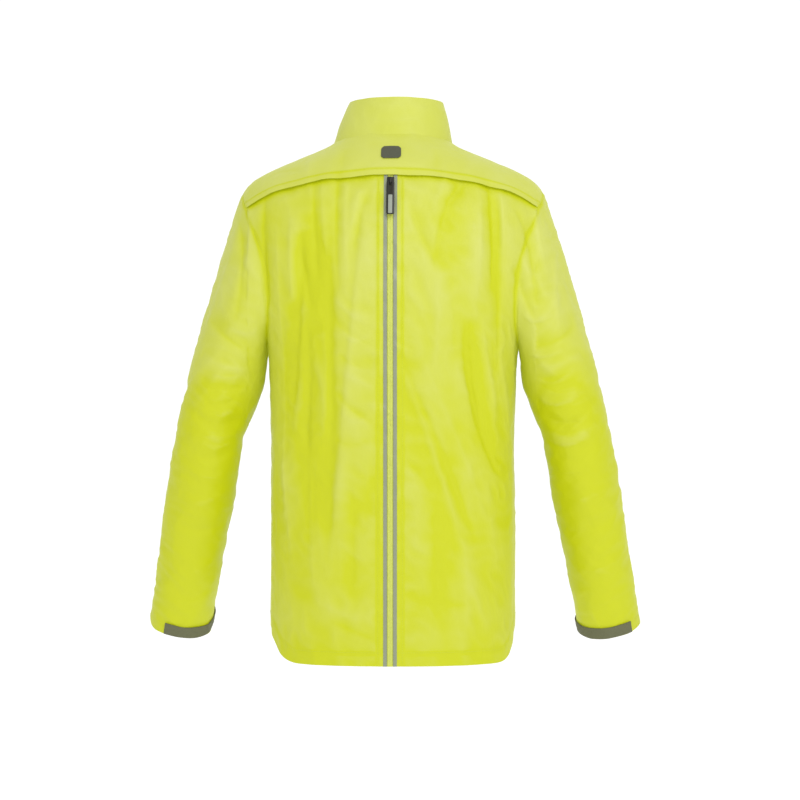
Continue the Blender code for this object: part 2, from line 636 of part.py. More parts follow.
def slider(name, place, finish):
    """The slider's body with the bridge that holds the pull tab's bar."""
    bm = bmesh.new()
    half = SLIDER_HEIGHT / 2
    box(bm, (-SLIDER_WIDTH / 2, 0, -half), (SLIDER_WIDTH / 2, SLIDER_THICK, half))
    bmesh.ops.bevel(bm, geom=bm.edges, offset=SLIDER_BEVEL, segments=1, affect="EDGES")
    obj = add_object(name, bm, finish)
    obj.matrix_world = place
    bm = bmesh.new()
    reach, leg, top = BRIDGE_HEIGHT / 2, BRIDGE_BAR, SLIDER_THICK + BRIDGE_GAP
    across_half = BRIDGE_WIDTH / 2
    profile = (
        (-reach, SLIDER_THICK / 2), (-reach, top), (-reach + leg, top + leg), (reach - leg, top + leg),
        (reach, top), (reach, SLIDER_THICK / 2), (reach - leg, SLIDER_THICK / 2), (reach - leg, top),
        (-reach + leg, top), (-reach + leg, SLIDER_THICK / 2),
    )
    face = bm.faces.new([bm.verts.new((-across_half, y, z)) for z, y in profile])
    grown = bmesh.ops.extrude_face_region(bm, geom=[face])["geom"]
    for item in grown:
        if isinstance(item, bmesh.types.BMVert):
            item.co.x = across_half
    bmesh.ops.recalc_face_normals(bm, faces=bm.faces)
    bridge = helper(name + "_bridge", bm)
    bridge.matrix_world = place
    combine(obj, bridge, "UNION")
    return obj


def pull_axis():
    """The pull tab's bar in the slider's frame: just above the bridge's lower leg."""
    return Vector((0, SLIDER_THICK + BRIDGE_GAP / 2, -BRIDGE_HEIGHT / 2 + BRIDGE_BAR + PULL_CLEARANCE))


def pull_tab(name, place, finish, insert_finish=None):
    """A flat tab that hangs from its bar, with an eye round the bridge. Its origin is on the bar."""
    bm = bmesh.new()
    top, bottom = PULL_BAR / 2, PULL_BAR / 2 - PULL_LENGTH
    rounded_plate(bm, PULL_WIDTH / 2, top, bottom, -PULL_THICK / 2, PULL_THICK / 2, PULL_CORNER)
    obj = add_object(name, bm, finish)
    obj.matrix_world = place
    bm = bmesh.new()
    eye_top = -PULL_BAR / 2
    low = (-EYE_WIDTH / 2, -PULL_THICK, eye_top - EYE_LENGTH)
    box(bm, low, (EYE_WIDTH / 2, PULL_THICK, eye_top))
    eye = helper(name + "_eye", bm)
    eye.matrix_world = place
    combine(obj, eye, "DIFFERENCE")
    if insert_finish is None:
        return
    bm = bmesh.new()
    low = bottom + INSERT_RISE
    inner = PULL_THICK / 2 + SEAM
    rounded_plate(bm, INSERT_WIDTH / 2, low + INSERT_LENGTH, low, inner, inner + INSERT_THICK, INSERT_CORNER)
    insert = add_object(name + "_insert", bm, insert_finish)
    insert.matrix_world = place


def frame_at(point, out, up):
    """X across, Y out of the cloth, Z up along the zip."""
    out = out if out.y * point.y > 0 else -out
    side = out.cross(up).normalized()
    return Matrix.Translation(point) @ Matrix((side, out.normalized(), up)).transposed().to_4x4()


def slider_place(upper, middle, lower):
    """The slider's frame at the middle one of three points of the zip, lying along the outer two."""
    up = (upper - lower).normalized()
    return frame_at(middle, Vector((1, 0, 0)).cross(up), up)


def slider_and_pull(prefix, place, finish, insert_finish=None):
    slider(prefix + "_slider", place, finish)
    pull_tab(prefix + "_pull", place @ Matrix.Translation(pull_axis()), finish, insert_finish)


def back_slider_place():
    """On the first straight stretch of the back zip, just below the flap."""
    upper, lower = (back_point(0.0, *edge, BACK_SLIDER_RISE) for edge in back_edge()[1:3])
    share = (upper.z - BACK_SLIDER_Z) / (upper.z - lower.z)
    return slider_place(upper, upper.lerp(lower, share), lower)


def front_slider_place():
    """At the top of the front zip, which is closed."""
    shares = (FRONT_SLIDER_SHARE + rise for rise in (0.1, 0.0, -0.3))
    return slider_place(*(collar_point(math.pi, share, FRONT_SLIDER_RISE) for share in shares))


def main():
    clear_scene()
    cloth = material("yellow_cloth", YELLOW, 0.45)
    tape = material("yellow_tape", DARK_YELLOW, 0.7)
    reflective = material("reflective_grey", REFLECTIVE, 0.35, 0.2)
    grey = material("tab_grey", TAB_GREY, 0.6)
    black = material("black_plastic", BLACK, 0.35)
    pale = material("pale_insert", PALE, 0.5)
    dark_patch = material("dark_patch", TAB_GREY, 0.55)
    yoke(cloth)
    collar(cloth)
    for side in (-1, 1):
        back_panel(side, cloth)
        front_panel(side, cloth)
        sleeve(side, cloth)
    for row in CUFF_TABS:
        cuff_tab(dict(zip(TAB_COLUMNS, row)), grey)
    tape_sides = (-NEAR_ZIP, -SLOT, SLOT, NEAR_ZIP)
    teeth_sides = (-TEETH_HALF, TEETH_HALF)
    back_strip("back_zip_tape", tape_sides, TAPE_THICK, TAPE_LIFT, tape)
    back_strip("back_zip_teeth", teeth_sides, TEETH_THICK, TEETH_LIFT, tape)
    for side, name in ((-1, "back_reflective_left"), (1, "back_reflective_right")):
        edges = sorted((side * STRIPE_FROM, side * STRIPE_TO))
        back_strip(name, edges, STRIPE_THICK, STRIPE_LIFT, reflective)
    front_strip("front_zip_tape", tape_sides[::-1], TAPE_THICK, TAPE_LIFT, tape)
    front_strip("front_zip_teeth", teeth_sides[::-1], TEETH_THICK, TEETH_LIFT, tape)
    patch(dark_patch)
    slider_and_pull("back_zip", back_slider_place(), black, pale)
    slider_and_pull("front_zip", front_slider_place(), black)


main()
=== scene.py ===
"""Hi-vis yellow rain jacket, filled out as worn: thin coated cloth, sewn seams, zips, grey trim.

Metres, +Z up. The back looks along -Y, and the wearer's left is -X. Each cloth piece is a thin sheet on
the form of its solid in the frame, with the creases of worn cloth pressed into it, and a wall as thick as
the cloth.
"""

import math

import bmesh
import bpy
import numpy as np
from mathutils import Matrix, Vector, noise
from mathutils.bvhtree import BVHTree
from mathutils.kdtree import KDTree


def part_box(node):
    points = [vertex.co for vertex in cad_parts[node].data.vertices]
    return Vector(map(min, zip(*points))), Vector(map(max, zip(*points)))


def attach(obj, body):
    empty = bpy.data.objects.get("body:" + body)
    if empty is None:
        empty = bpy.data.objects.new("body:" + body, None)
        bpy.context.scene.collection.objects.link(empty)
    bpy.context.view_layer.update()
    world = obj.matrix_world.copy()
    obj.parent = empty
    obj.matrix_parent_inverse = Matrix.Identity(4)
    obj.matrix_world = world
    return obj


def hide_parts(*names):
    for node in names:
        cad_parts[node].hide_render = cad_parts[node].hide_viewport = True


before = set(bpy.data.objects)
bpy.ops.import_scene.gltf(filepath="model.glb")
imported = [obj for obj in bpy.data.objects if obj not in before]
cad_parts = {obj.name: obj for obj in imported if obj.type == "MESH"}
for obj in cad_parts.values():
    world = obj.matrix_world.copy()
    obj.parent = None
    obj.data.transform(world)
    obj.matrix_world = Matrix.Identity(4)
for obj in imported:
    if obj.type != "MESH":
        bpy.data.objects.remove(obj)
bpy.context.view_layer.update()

# Walls of the sheets, and how often the solids' coarse faces are divided.
CLOTH_WALL, COLLAR_WALL, STRAP_WALL, PATCH_WALL = 0.0007, 0.0012, 0.0015, 0.0008
BEADS_WALL, TAPE_WALL, TEETH_WALL = 0.0007, 0.0009, 0.0016
SMOOTHING, STRAP_SMOOTHING, PATCH_SMOOTHING = 3, 2, 1
# Points closer than the weld are one point. Faces that turn by less than the flat turn are on one side of
# a wall, and the side that looks out is favoured a little. Edges that turn by more than crisp stay sharp.
WELD = 0.00002
FLAT_TURN = math.radians(65)
OUTER_FAVOUR = 0.01
CRISP = math.radians(55)
# Where the sewn edges meet: the reach of a seam, the height above which the back panels are loose under the
# flap, and half the width of the open centre lines.
SEAM_REACH = 0.0052
UNDER_FLAP_Z = -0.090
CENTRE_GAP = 0.02
SLOT_X = 0.006
# Heights that tell the edges apart.
HEM_BAND_Z = -0.60
FLAP_TOP_Z, NECK_FLOOR_Z = -0.045, -0.10
# Creases: their strength in all and on the outer sides of the sleeves, how steeply and how far they fade.
CREASE_STRENGTH, SIDE_STRENGTH, CREASE_EDGE = 1.6, 0.4, 1.15
CREASE_REACH, CREASE_LEAN, CREASE_ENDS = 3, 0.85, 0.6
PUCKER_X = 0.018
CALM_WAVES = 0.4
# How much paler the cloth's colour is painted for each metre the creases and waves raise it: painted sheen
# on ridges and painted shade in hollows.
SHEEN_SHADE_BY_RISE = 150.0
# The cloth keeps still round the places where the sliders sit.
SLIDER_PLACES = (Vector((0, -0.120, -0.062)), Vector((0.004, 0.080, -0.014)))
SLIDER_CALM = 0.02
# How far in from each free edge the cloth lies double, and how proud and deep in colour it is there.
DOUBLED_REACH = {"hem": 0.019, "cuff": 0.015, "flap": 0.010, "zip": 0.013}
DOUBLED_PIECES = {
    "hem": ("back", "front"),
    "cuff": ("sleeve",),
    "flap": ("yoke",),
    "zip": ("back", "front"),
}
DOUBLED_STAND, DOUBLED_FADE, DOUBLED_TONE = 0.00035, 0.003, 0.15
# Lines of deeper colour along the stitches and seams, and a painted shadow under the flap's edge: how deep,
# and how far they reach to each side.
STITCH_LINE, SEAM_LINE, FLAP_SHADOW_LINE = (0.6, 0.0022), (0.9, 0.004), (1.2, 0.006)
# How far the cloth sinks at a seam and over what reach, and how the flap's edge lies down and waves.
SEAM_SINK, SEAM_SINK_END = (0.0006, 0.0022), 0.006
FLAP_HOLD, FLAP_LAY, FLAP_WAVE = 0.024, 0.0007, 0.0018
COLLAR_REACH, COLLAR_TUCK = 0.009, 0.0006
STITCH_INSET = 0.0022
# A zip's coil: half its width, the pitch and stagger of its turns, a turn's height and thickness, and how
# far the coil stays from the ends of its strip. Then the rounding of moulded edges.
COIL_HALF, COIL_PITCH, COIL_STAGGER = 0.0036, 0.0015, 0.00037
COIL_TURN, COIL_END = (0.0009, 0.0007), 0.002
MOULDED_EDGE, MOULDED_TURN = 0.00025, math.radians(35)

# The studio's light: its level, how much brighter it is before and behind the jacket, and towards the top.
WORLD_BASE, WORLD_ENDS, WORLD_RISE = 0.50, 0.56, 0.30
KEY_POWER, KEY_SIZE, KEY_PLACE, KEY_AIM = 46.0, 2.4, (1.2, -2.7, 1.7), Vector((0, 0, -0.3))
FLOOR_Z, FLOOR_RADIUS, FLOOR_GLOW = -1.30, 20.0, 0.34
LENS, VIEW_DISTANCE, VIEW_ASIDE, VIEW_AIM = 108.6, 3.5, math.radians(1.5), Vector((0.0102, 0, -0.367))

BODY_CLOTH = ("back_left", "back_right", "yoke", "front_left", "front_right", "sleeve_left", "sleeve_right")

# Creases pressed into the cloth. Each runs through three points, which are read from one side of the
# jacket: back and front give x and z, left and right give y and z. Width is how far it reaches to each
# side, depth is out (+) or in (-), and lean makes one flank steeper. All in millimetres but lean.
CREASE_COLUMNS = "side a0 z0 a1 z1 a2 z2 width depth lean".split()
CREASES = (
    # left half of the back
    ("back", -74, -44, -76, -110, -73, -215, 7, -2.2, 0.5),
    ("back", -62, -60, -64, -125, -60, -200, 8, 1.5, -0.4),
    ("back", -97, -52, -96, -100, -90, -165, 8, 1.8, 0.4),
    ("back", -110, -56, -108, -120, -104, -200, 7, -1.8, -0.4),
    ("back", -30, -72, -40, -100, -52, -158, 7, -1.5, 0.5),
    ("back", -44, -70, -52, -110, -62, -150, 6, 1.2, -0.5),
    ("back", -128, -128, -124, -180, -112, -240, 12, -3.0, 0.3),
    ("back", -140, -110, -142, -160, -138, -230, 7, 2.0, 0.3),
    ("back", -120, -240, -116, -330, -122, -440, 14, -2.2, 0.3),
    ("back", -98, -250, -92, -340, -100, -430, 13, 2.0, -0.3),
    ("back", -75, -250, -66, -268, -28, -290, 5, -1.0, 0.5),
    ("back", -68, -262, -52, -285, -24, -272, 5, 0.9, 0.5),
    ("back", -76, -352, -56, -378, -24, -400, 6, -1.2, 0.5),
    ("back", -70, -375, -50, -398, -26, -386, 6, 1.0, -0.4),
    ("back", -130, -380, -110, -470, -112, -560, 13, -1.8, 0.3),
    ("back", -86, -440, -78, -520, -84, -620, 14, 1.8, 0.3),
    ("back", -60, -470, -52, -560, -58, -650, 11, -1.4, -0.3),
    ("back", -152, -420, -150, -500, -140, -585, 9, 1.5, 0.3),
    ("back", -86, -674, -50, -690, -14, -706, 7, -1.2, 0.4),
    ("back", -110, -640, -70, -664, -24, -676, 8, 1.1, 0.4),
    ("back", -84, -52, -86, -300, -80, -620, 26, -3.0, -0.95),
    ("back", -34, -90, -58, -330, -84, -600, 14, 1.6, 0.9),
    ("back", -128, -130, -134, -300, -146, -420, 16, -2.0, -0.9),
    ("back", -106, -300, -112, -440, -106, -640, 14, 1.5, 0.9),
    ("back", -78, -222, -60, -244, -30, -262, 6, 1.1, 0.5),
    ("back", -72, -300, -52, -318, -24, -322, 6, -1.2, 0.5),
    ("back", -66, -330, -44, -340, -22, -352, 5, 1.0, -0.5),
    ("back", -78, -420, -52, -430, -26, -420, 7, -1.2, 0.5),
    ("back", -74, -560, -48, -584, -24, -590, 8, 1.2, 0.5),
    # right half of the back
    ("back", 104, -56, 92, -74, 76, -92, 6, -1.6, 0.5),
    ("back", 78, -50, 70, -72, 60, -98, 7, 1.2, -0.4),
    ("back", 136, -56, 144, -130, 142, -215, 7, -2.4, 0.5),
    ("back", 152, -62, 156, -110, 158, -160, 6, 1.5, 0.5),
    ("back", 124, -70, 126, -140, 120, -230, 9, 1.8, -0.3),
    ("back", 112, -250, 118, -320, 130, -410, 9, -2.2, 0.5),
    ("back", 128, -252, 136, -310, 148, -380, 8, 1.6, -0.5),
    ("back", 148, -448, 158, -458, 170, -470, 6, -1.4, 0.4),
    ("back", 18, -320, 66, -430, 120, -570, 16, -2.2, -0.95),
    ("back", 40, -300, 88, -410, 136, -540, 8, 1.2, -0.4),
    ("back", 60, -180, 66, -260, 60, -350, 13, 1.4, 0.3),
    ("back", 84, -150, 88, -230, 90, -330, 12, -1.4, 0.3),
    ("back", 60, -520, 66, -600, 62, -690, 13, -1.4, 0.3),
    ("back", 100, -560, 108, -630, 104, -700, 12, 1.3, 0.3),
    ("back", 20, -634, 60, -652, 120, -650, 8, -1.0, 0.4),
    ("back", 24, -80, 50, -150, 84, -190, 9, -1.8, 0.6),
    ("back", 106, -250, 116, -370, 160, -486, 16, -2.4, 0.95),
    ("back", 100, -56, 76, -110, 62, -190, 14, -1.8, 0.9),
    ("back", 150, -60, 152, -200, 150, -340, 12, -2.0, -0.9),
    ("back", 18, -322, 66, -456, 104, -580, 11, 1.8, 0.6),
    ("back", 24, -210, 40, -236, 64, -246, 6, 1.0, 0.5),
    ("back", 20, -446, 40, -470, 58, -500, 7, -1.1, 0.5),
    ("back", 24, -556, 50, -580, 90, -584, 8, 1.0, 0.4),
    # yoke
    ("back", -170, -46, -150, -40, -128, -44, 6, -1.0, 0.3),
    ("back", -128, -6, -118, -30, -122, -50, 7, 0.9, 0.3),
    ("back", 104, 0, 110, -26, 104, -50, 7, 0.9, 0.3),
    ("back", 60, -10, 64, -30, 60, -44, 7, -0.8, 0.3),
    ("back", -66, -12, -70, -30, -64, -42, 7, -0.7, 0.3),
    # left sleeve, seen from the back
    ("back", -178, -70, -182, -130, -176, -235, 8, -2.8, 0.4),
    ("back", -206, -80, -202, -130, -208, -190, 7, 1.8, 0.4),
    ("back", -222, -100, -214, -170, -222, -260, 9, -1.8, 0.4),
    ("back", -262, -250, -228, -284, -196, -296, 9, -1.8, 0.5),
    ("back", -268, -300, -236, -322, -204, -320, 8, 1.5, -0.5),
    ("back", -274, -340, -244, -352, -206, -346, 7, -1.6, 0.5),
    ("back", -282, -386, -246, -404, -212, -392, 8, -2.6, 0.5),
    ("back", -288, -410, -256, -420, -222, -414, 7, 1.8, -0.5),
    ("back", -292, -440, -262, -452, -230, -440, 8, -1.6, 0.5),
    ("back", -300, -500, -272, -512, -240, -498, 9, 1.4, -0.5),
    ("back", -308, -540, -282, -556, -246, -548, 8, -1.3, 0.5),
    ("back", -320, -600, -296, -616, -262, -600, 8, 1.2, -0.5),
    ("back", -330, -640, -300, -656, -270, -642, 7, -1.2, 0.5),
    # right sleeve, seen from the back
    ("back", 176, -100, 196, -150, 206, -235, 8, -2.6, 0.4),
    ("back", 204, -80, 208, -130, 224, -200, 8, 1.6, 0.4),
    ("back", 172, -176, 188, -220, 206, -262, 8, -2.0, 0.4),
    ("back", 236, -150, 232, -210, 240, -280, 9, 1.4, 0.4),
    ("back", 202, -290, 236, -282, 262, -258, 9, -1.8, 0.5),
    ("back", 204, -316, 238, -318, 268, -300, 8, 1.4, -0.5),
    ("back", 210, -344, 244, -352, 276, -340, 7, -1.6, 0.5),
    ("back", 214, -384, 250, -400, 284, -376, 8, -2.4, 0.5),
    ("back", 224, -410, 258, -420, 290, -398, 7, 1.8, -0.5),
    ("back", 232, -444, 262, -452, 296, -430, 8, -1.5, 0.5),
    ("back", 244, -506, 276, -508, 306, -490, 9, 1.3, -0.5),
    ("back", 252, -556, 284, -556, 314, -540, 8, -1.3, 0.5),
    ("back", 266, -606, 296, -612, 324, -596, 8, 1.2, -0.5),
    # narrow creases round both elbows
    ("back", -214, -330, -232, -336, -256, -330, 3.5, 1.3, 0.7),
    ("back", -220, -362, -240, -372, -266, -368, 3.5, -1.4, 0.7),
    ("back", -222, -376, -246, -388, -276, -380, 3.5, 1.5, 0.7),
    ("back", -218, -398, -240, -412, -270, -404, 3.5, -1.5, 0.7),
    ("back", -232, -424, -250, -434, -278, -426, 3.5, 1.3, 0.7),
    ("back", -240, -470, -262, -476, -288, -466, 4, 1.2, 0.7),
    ("back", -190, -262, -206, -272, -232, -262, 4, 1.3, 0.7),
    ("back", 196, -300, 216, -306, 244, -296, 3.5, 1.3, 0.7),
    ("back", 206, -332, 228, -338, 256, -326, 3.5, -1.4, 0.7),
    ("back", 212, -364, 236, -374, 266, -360, 3.5, 1.5, 0.7),
    ("back", 216, -392, 240, -404, 272, -388, 3.5, -1.5, 0.7),
    ("back", 224, -420, 250, -430, 280, -414, 3.5, 1.3, 0.7),
    ("back", 236, -466, 260, -472, 288, -458, 4, 1.2, 0.7),
    ("back", 186, -244, 204, -256, 230, -246, 4, 1.3, 0.7),
    # front
    ("front", -60, -150, -66, -240, -60, -340, 10, -1.8, 0.4),
    ("front", -96, -110, -98, -190, -90, -280, 9, 1.6, -0.4),
    ("front", -126, -140, -128, -220, -118, -320, 9, -2.4, 0.4),
    ("front", -40, -380, -56, -470, -50, -600, 12, 1.5, 0.3),
    ("front", -84, -360, -96, -480, -90, -620, 12, -1.8, 0.3),
    ("front", -126, -420, -134, -520, -126, -640, 11, 1.6, 0.3),
    ("front", -110, -280, -70, -310, -26, -320, 8, -1.2, 0.4),
    ("front", 62, -160, 70, -250, 64, -330, 10, -1.7, 0.4),
    ("front", 98, -120, 96, -190, 102, -290, 9, 1.6, -0.4),
    ("front", 124, -150, 130, -240, 124, -330, 9, -2.3, 0.4),
    ("front", 36, -400, 44, -480, 40, -610, 12, 1.4, 0.3),
    ("front", 74, -340, 84, -460, 78, -600, 13, -1.7, 0.3),
    ("front", 118, -400, 128, -500, 120, -620, 11, 1.6, 0.3),
    ("front", 24, -290, 70, -300, 112, -276, 8, -1.1, 0.4),
    ("front", -282, -386, -254, -370, -222, -360, 8, -2.2, 0.5),
    ("front", -288, -420, -262, -412, -232, -408, 8, 1.6, -0.5),
    ("front", -262, -250, -236, -270, -206, -286, 9, -1.6, 0.5),
    ("front", -306, -530, -282, -520, -254, -524, 8, -1.3, 0.5),
    ("front", 226, -366, 254, -372, 284, -390, 8, -2.1, 0.5),
    ("front", 232, -412, 262, -410, 290, -424, 8, 1.5, -0.5),
    ("front", 206, -280, 236, -268, 262, -252, 9, -1.5, 0.5),
    ("front", 258, -536, 284, -530, 308, -540, 8, -1.2, 0.5),
    # outer sides of the sleeves
    ("left", -40, -330, -6, -350, 30, -338, 8, -1.6, 0.5),
    ("left", -42, -400, -8, -410, 34, -392, 8, -2.0, 0.5),
    ("left", -30, -450, 6, -462, 44, -446, 8, 1.4, -0.5),
    ("left", 0, -560, 34, -566, 66, -552, 8, -1.3, 0.5),
    ("left", -30, -180, -10, -240, -4, -300, 10, 1.5, 0.4),
    ("right", -40, -340, -6, -346, 30, -330, 8, -1.6, 0.5),
    ("right", -42, -396, -8, -404, 34, -396, 8, -1.9, 0.5),
    ("right", -30, -446, 6, -458, 44, -450, 8, 1.4, -0.5),
    ("right", 0, -548, 34, -560, 66, -556, 8, -1.3, 0.5),
    ("right", -30, -190, -10, -240, -6, -300, 10, 1.4, 0.4),
)
# The way one looks at each side of the jacket, along which the creases and the zip coil are cast onto the
# cloth.
LOOKING = {"back": (0, 1, 0), "front": (0, -1, 0), "left": (1, 0, 0), "right": (-1, 0, 0)}


def outwards(face):
    """How far a face looks away from the middle of the jacket, from -1 to 1."""
    centre = face.calc_center_median()
    return face.normal.dot(Vector((centre.x, centre.y, 0)).normalized())


def cloth_face(node, piece=0):
    """The outer face of a solid's wall of cloth, as a bmesh of quads that carries the piece's number."""
    bm = bmesh.new()
    bm.from_mesh(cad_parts[node].data)
    bmesh.ops.remove_doubles(bm, verts=bm.verts, dist=WELD)
    left = set(bm.faces)
    largest, largest_area = set(), 0.0
    while left:
        part, reach = set(), [left.pop()]
        while reach:
            face = reach.pop()
            part.add(face)
            for edge in face.edges:
                for other in edge.link_faces:
                    if other in left and edge.calc_face_angle(math.pi) < FLAT_TURN:
                        left.remove(other)
                        reach.append(other)
        area = sum(face.calc_area() * (1 + OUTER_FAVOUR * outwards(face)) for face in part)
        if area > largest_area:
            largest, largest_area = part, area
    bmesh.ops.delete(bm, geom=[face for face in bm.faces if face not in largest], context="FACES")
    bmesh.ops.join_triangles(
        bm, faces=bm.faces, angle_face_threshold=math.pi, angle_shape_threshold=math.pi
    )
    for face in bm.faces:
        face.material_index = piece
        face.smooth = True
    return bm


def joined(parts):
    """One bmesh of several."""
    whole = bmesh.new()
    for part in parts:
        mesh = bpy.data.meshes.new("part")
        part.to_mesh(mesh)
        part.free()
        whole.from_mesh(mesh)
        bpy.data.meshes.remove(mesh)
    return whole


def sewn_together(bm):
    """Closes the seams: the edge points of one piece meet the nearest edge points of the next."""
    edge_points = [vert for vert in bm.verts if vert.is_boundary and abs(vert.co.x) > CENTRE_GAP]
    owner = {vert: vert.link_faces[0].material_index for vert in edge_points}
    yoke = BODY_CLOTH.index("yoke")
    edge_points.sort(key=lambda vert: owner[vert] != yoke)
    target = {}
    met = {}
    for vert in edge_points:
        if vert in target:
            continue
        near = [
            other
            for other in edge_points
            if other is not vert
            and other not in target
            and other not in met
            and owner[other] != owner[vert]
            and (other.co - vert.co).length < SEAM_REACH
            and not (BODY_CLOTH[owner[other]].startswith("back") and other.co.z > UNDER_FLAP_Z)
        ]
        near.sort(key=lambda other: (other.co - vert.co).length)
        for other in near:
            if owner[other] in met.get(vert, ()):
                continue
            target[other] = vert
            met.setdefault(vert, {owner[vert]}).add(owner[other])
    bmesh.ops.weld_verts(bm, targetmap=target)


def smoothed(bm, levels):
    """A finer, smooth mesh on the same form."""
    mesh = bpy.data.meshes.new("coarse")
    bm.to_mesh(mesh)
    bm.free()
    for _ in BODY_CLOTH:
        mesh.materials.append(None)
    obj = bpy.data.objects.new("coarse", mesh)
    bpy.context.scene.collection.objects.link(obj)
    finer = obj.modifiers.new("Smoothing", "SUBSURF")
    finer.levels = finer.render_levels = levels
    finer.boundary_smooth = "PRESERVE_CORNERS"
    graph = bpy.context.evaluated_depsgraph_get()
    fine = bmesh.new()
    fine.from_mesh(obj.evaluated_get(graph).to_mesh())
    bpy.data.objects.remove(obj)
    bpy.data.meshes.remove(mesh)
    fine.normal_update()
    return fine


def crease_line(tree, row):
    """The crease's own line on the cloth, as an array of points."""
    crease = dict(zip(CREASE_COLUMNS, row))
    looking = Vector(LOOKING[crease["side"]])
    points = []
    for i in range(11):
        t = i / 10
        shares = ((1 - t) * (1 - 2 * t), 4 * t * (1 - t), t * (2 * t - 1))
        across = sum(s * crease[a] for s, a in zip(shares, ("a0", "a1", "a2"))) / 1000
        height = sum(s * crease[z] for s, z in zip(shares, ("z0", "z1", "z2"))) / 1000
        start = Vector((across, 0, height)) if looking.x == 0 else Vector((0, across, height))
        hit = tree.ray_cast(start - looking, looking)[0]
        if hit is not None:
            points.append(hit)
    return np.array(points), crease


def crease_push(points, normals, creases):
    """How far the creases move each point of the cloth out."""
    push = np.zeros(len(points))
    for line, crease in creases:
        width = crease["width"] / 1000
        reach = CREASE_REACH * width
        close = np.all((points > line.min(0) - reach) & (points < line.max(0) + reach), axis=1)
        index = np.nonzero(close)[0]
        if not len(index):
            continue
        here, normal = points[index], normals[index]
        best = np.full(len(index), reach)
        share = np.zeros(len(index))
        flank = np.zeros(len(index))
        steps = np.diff(line, axis=0)
        lengths = np.linalg.norm(steps, axis=1)
        before = np.concatenate(([0.0], np.cumsum(lengths)))
        for start, step, length, done in zip(line, steps, lengths, before):
            t = np.clip((here - start) @ step / length**2, 0, 1)
            off = here - start - t[:, None] * step
            distance = np.linalg.norm(off, axis=1)
            near = distance < best
            best[near] = distance[near]
            share[near] = (done + t[near] * length) / before[-1]
            flank[near] = np.einsum("ij,ij->i", np.cross(normal, step / length), off)[near]
        ends = np.clip(share * (1 - share) * 4, 0, 1) ** CREASE_ENDS
        across = best / (width * (1 + CREASE_LEAN * crease["lean"] * np.tanh(3 * flank / width)))
        facing = np.clip(-1.8 * (normal @ np.array(LOOKING[crease["side"]])) - 0.2, 0, 1)
        strength = CREASE_STRENGTH * (SIDE_STRENGTH if crease["side"] in ("left", "right") else 1.0)
        depth = strength * crease["depth"] / 1000
        push[index] += depth * ends * facing * np.exp(-(across**CREASE_EDGE))
    return push


def ridges(x, y, z):
    """Uneven sharp ridges with soft hollows between, from -1 to 1."""
    return 1 - 3.2 * abs(noise.noise(Vector((x, y, z))))


def small_waves(place, share=1.0):
    """The small uneven waves of thin cloth: long upright ones at the sides of the body, and short crumples
    beside the back zip and across the sleeves."""
    x, y, z = place
    on_arm = abs(x) > 0.205 + max(0.0, -0.3 - z) * 0.05
    wave = 0.0005 * noise.noise(place * 12)
    if on_arm:
        wave += 0.0007 * ridges(x * 16 + 5, y * 16, z * 30 + abs(x) * 24)
        wave += 0.0007 * ridges(x * 26, y * 26, z * 56 - abs(x) * 30)
    else:
        near_zip = math.exp(-((x / 0.055) ** 2))
        wave += 0.0010 * (1 - near_zip) * ridges(x * 26 + z * 5, y * 20, z * 6 + 1)
        wave += 0.0013 * near_zip * ridges(x * 20 + z * 12, y * 20, z * 30)
        wave += 0.0006 * ridges(x * 44 + z * 16, y * 44, z * 40 + 3)
    if y < 0:
        beside = math.exp(-(((abs(x) - PUCKER_X) / PUCKER_X) ** 2))
        wave += 0.0008 * beside * noise.noise(Vector((x * 25, 0, z * 85)))
    return wave * share


def base_light_and_tone(place, piece):
    """How pale the cloth is painted before its creases count, from 0, deep, to 1. The yoke, the collar and
    the upper parts of the sleeves, which face the light from above, get painted sheen, and painted shade
    deepens the cloth towards the hem and cuffs; a little noise gives an uneven tone."""
    # Painted sheen on the yoke and collar, which face up to the light, with an uneven tone.
    if piece in ("yoke", "collar"):
        return 0.9 + 0.2 * noise.noise(place * 18)
    if piece.startswith("sleeve"):
        low, high, top, bottom = -0.46, -0.22, 0.85, -0.10
    else:
        low, high, top, bottom = -0.62, -0.10, 0.66, 0.28
    # Painted light by height: paler, with painted sheen, high up, and deeper, with painted shade, low down.
    share = min(1.0, max(0.0, (place.z - low) / (high - low)))
    return bottom + (top - bottom) * share * share * (3 - 2 * share) + 0.2 * noise.noise(place * 14)


def press_creases(bm, creases, pieces=("",), calm=()):
    """Moves the cloth out or in by its creases and small waves, and paints light and shade into its colour:
    painted sheen on ridges and painted shade in hollows, on top of the painted light that falls with
    height. It keeps still where the sliders hold it."""
    painted_light_and_tone = bm.verts.layers.float.new("painted_light_and_tone")
    points = np.array([vert.co for vert in bm.verts])
    normals = np.array([vert.normal for vert in bm.verts])
    push = crease_push(points, normals, creases)
    for vert, far in zip(bm.verts, push):
        still = min((vert.co - place).length for place in SLIDER_PLACES) / SLIDER_CALM
        piece = pieces[vert.link_faces[0].material_index]
        far += small_waves(vert.co, CALM_WAVES if piece in calm else 1.0)
        # Painted light: the cloth's height tone, plus painted sheen on ridges and painted shade in hollows.
        vert[painted_light_and_tone] = base_light_and_tone(vert.co, piece) + SHEEN_SHADE_BY_RISE * far
        vert.co += vert.normal * far * min(1.0, max(0.0, still - 0.4))
    bm.normal_update()


def points_tree(verts):
    """A search tree over some points of the cloth."""
    tree = KDTree(len(verts))
    for i, vert in enumerate(verts):
        tree.insert(vert.co, i)
    tree.balance()
    return tree


